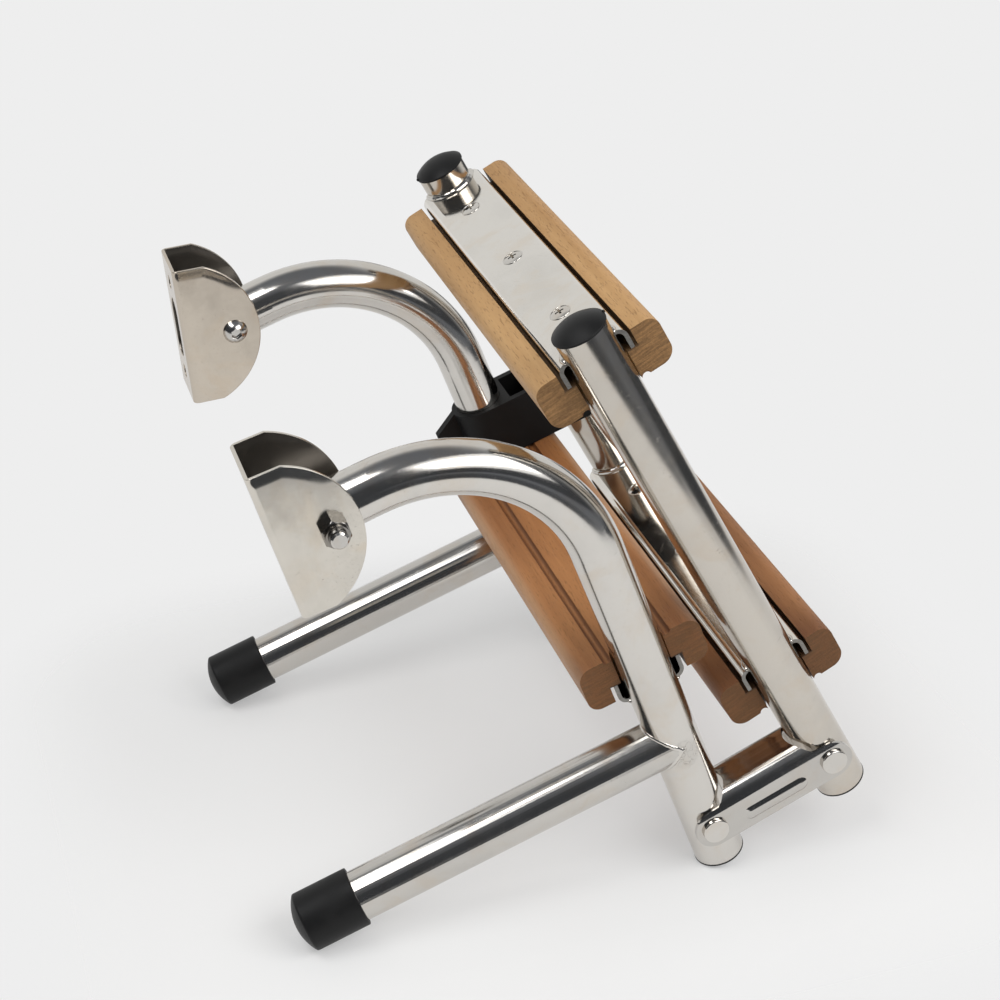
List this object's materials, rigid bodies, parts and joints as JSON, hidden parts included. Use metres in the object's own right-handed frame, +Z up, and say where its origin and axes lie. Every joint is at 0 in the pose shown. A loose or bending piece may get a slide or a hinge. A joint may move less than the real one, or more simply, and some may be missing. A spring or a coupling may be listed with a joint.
{
  "type": "folding boat boarding ladder",
  "caption": "Folding stern boarding ladder in polished tube with wooden treads, hinge links, rubber-tipped stand-offs, swivel brackets and a fold clip.",
  "frame": {"origin": "centre of the folded ladder's box on the floor it rests on", "axes": "X across the ladder from the left rail to the right rail, Y along the floor towards the hull side, Z up from the floor"},
  "size_m": [0.2818, 0.2962, 0.3032],
  "materials": {
    "polished_steel": "mirror-polished stainless steel",
    "oiled_hardwood": "oiled hardwood with a long open grain",
    "black_rubber": "satin black rubber",
    "black_plastic": "fine matte black moulded plastic"
  },
  "bodies": {
    "upper_frame": {"left_upper_rail": "polished_steel", "right_upper_rail": "polished_steel", "left_standoff_tube": "polished_steel", "right_standoff_tube": "polished_steel", "left_standoff_foot": "black_rubber", "right_standoff_foot": "black_rubber", "left_upper_rail_plug": "black_plastic", "right_upper_rail_plug": "black_plastic", "upper_step_channel": "polished_steel", "upper_step_tread": "oiled_hardwood", "upper_step_screws": "polished_steel", "fold_clip": "black_plastic"},
    "hinge_links": {"left_hinge_link": "polished_steel", "right_hinge_link": "polished_steel", "left_upper_hinge_pin": "polished_steel", "right_upper_hinge_pin": "polished_steel", "left_lower_hinge_pin": "polished_steel", "right_lower_hinge_pin": "polished_steel"},
    "folding_section": {"left_lower_rail": "polished_steel", "right_lower_rail": "polished_steel", "left_lower_rail_top_plug": "black_plastic", "right_lower_rail_top_plug": "black_plastic", "left_lower_rail_bottom_plug": "black_plastic", "right_lower_rail_bottom_plug": "black_plastic", "middle_step_channel": "polished_steel", "middle_step_tread": "oiled_hardwood", "middle_step_screws": "polished_steel", "bottom_step_channel": "polished_steel", "bottom_step_tread": "oiled_hardwood", "bottom_step_screws": "polished_steel"},
    "left_bracket_body": {"left_bracket": "polished_steel", "left_bracket_bolt": "polished_steel", "left_bracket_nut": "polished_steel", "left_bracket_bushes": "black_plastic"},
    "right_bracket_body": {"right_bracket": "polished_steel", "right_bracket_bolt": "polished_steel", "right_bracket_nut": "polished_steel", "right_bracket_bushes": "black_plastic"}
  },
  "joints": [
    {"name": "link_swing", "type": "hinge", "parent": "upper_frame", "child": "hinge_links", "pos_m": [0, -0.06421, 0.02799], "axis": [1, 0, 0], "range_deg": [0, 94.3]},
    {"name": "section_unfold", "type": "hinge", "parent": "hinge_links", "child": "folding_section", "pos_m": [0, -0.12561, 0.05406], "axis": [1, 0, 0], "range_deg": [0, 93.7]},
    {"name": "left_bracket_swivel", "type": "hinge", "parent": "upper_frame", "child": "left_bracket_body", "pos_m": [-0.11125, 0.11244, 0.23043], "axis": [1, 0, 0], "range_deg": [-93.5, 86.5]},
    {"name": "right_bracket_swivel", "type": "hinge", "parent": "upper_frame", "child": "right_bracket_body", "pos_m": [0.11125, 0.11244, 0.23043], "axis": [1, 0, 0], "range_deg": [-105.5, 74.5]}
  ]
}
